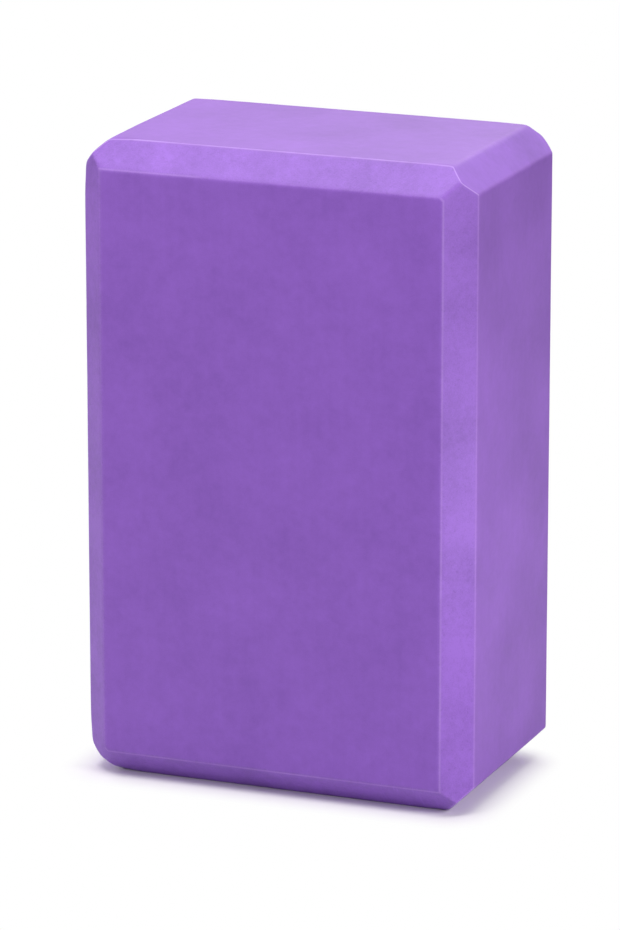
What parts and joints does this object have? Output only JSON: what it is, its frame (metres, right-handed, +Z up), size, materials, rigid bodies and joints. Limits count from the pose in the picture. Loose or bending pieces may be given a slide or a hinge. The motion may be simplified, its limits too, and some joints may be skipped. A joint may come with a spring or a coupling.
{
  "type": "yoga block",
  "caption": "Rectangular foam yoga block with bevelled edges and mitred corners, laid flat, on its side or on end as a firm support in floor exercise.",
  "frame": {"origin": "middle of the bottom end face, on the surface that the block stands on", "axes": "+Z up along the block's length, +X across its width to the right as seen from the front, +Y through its thickness, away from the front face"},
  "size_m": [0.146, 0.094, 0.23],
  "materials": {
    "eva_foam": "matte"
  },
  "bodies": {
    "root": {"foam_block": "eva_foam"}
  },
  "joints": []
}
